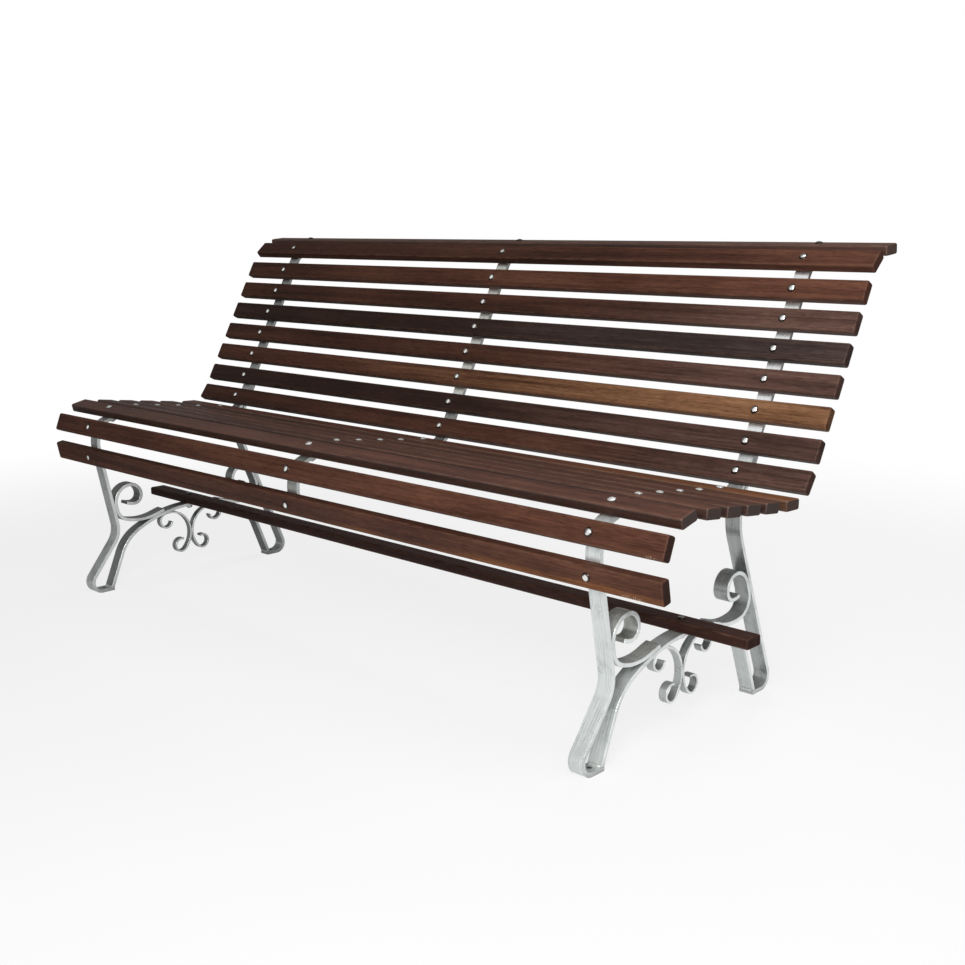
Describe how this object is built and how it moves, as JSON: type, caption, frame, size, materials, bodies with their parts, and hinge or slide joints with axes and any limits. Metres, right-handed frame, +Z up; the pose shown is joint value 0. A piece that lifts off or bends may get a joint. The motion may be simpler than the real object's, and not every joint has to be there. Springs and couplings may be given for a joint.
{
  "type": "garden bench",
  "caption": "Park bench with long hardwood slats bolted across reclining galvanised flat-bar frames, braced by an arch, scrolls and a stretcher under the seat.",
  "frame": {"origin": "on the ground under the middle of the bench's bounding box", "axes": "+X along the bench to the right end as seen by a person facing it from the front, +Y from front to back, +Z up"},
  "size_m": [1.8, 0.7351, 0.8521],
  "materials": {
    "hardwood": "oiled satin",
    "galvanised_bar": "hot-dip galvanised",
    "polished_fastener": "polished",
    "zinc_nut": "zinc plated"
  },
  "bodies": {
    "root": {"back_slat_1": "hardwood", "back_slat_2": "hardwood", "back_slat_3": "hardwood", "back_slat_4": "hardwood", "back_slat_5": "hardwood", "back_slat_6": "hardwood", "back_slat_7": "hardwood", "back_slat_8": "hardwood", "seat_slat_1": "hardwood", "seat_slat_2": "hardwood", "seat_slat_3": "hardwood", "seat_slat_4": "hardwood", "seat_slat_5": "hardwood", "seat_slat_6": "hardwood", "top_rail": "hardwood", "apron_slat_upper": "hardwood", "apron_slat_lower": "hardwood", "stretcher": "hardwood", "middle_support": "galvanised_bar", "left_seat_bar": "galvanised_bar", "left_rear_leg": "galvanised_bar", "left_arch": "galvanised_bar", "left_front_scroll": "galvanised_bar", "left_rear_scroll": "galvanised_bar", "left_front_c_scroll": "galvanised_bar", "left_rear_c_scroll": "galvanised_bar", "right_seat_bar": "galvanised_bar", "right_rear_leg": "galvanised_bar", "right_arch": "galvanised_bar", "right_front_scroll": "galvanised_bar", "right_rear_scroll": "galvanised_bar", "right_front_c_scroll": "galvanised_bar", "right_rear_c_scroll": "galvanised_bar", "top_rail_bolts": "polished_fastener", "back_bolts": "polished_fastener", "seat_bolts": "polished_fastener", "apron_bolts": "polished_fastener", "stretcher_bolts": "polished_fastener", "top_rail_nuts": "zinc_nut", "back_nuts": "zinc_nut", "seat_nuts": "zinc_nut", "apron_nuts": "zinc_nut", "stretcher_nuts": "zinc_nut"}
  },
  "joints": []
}
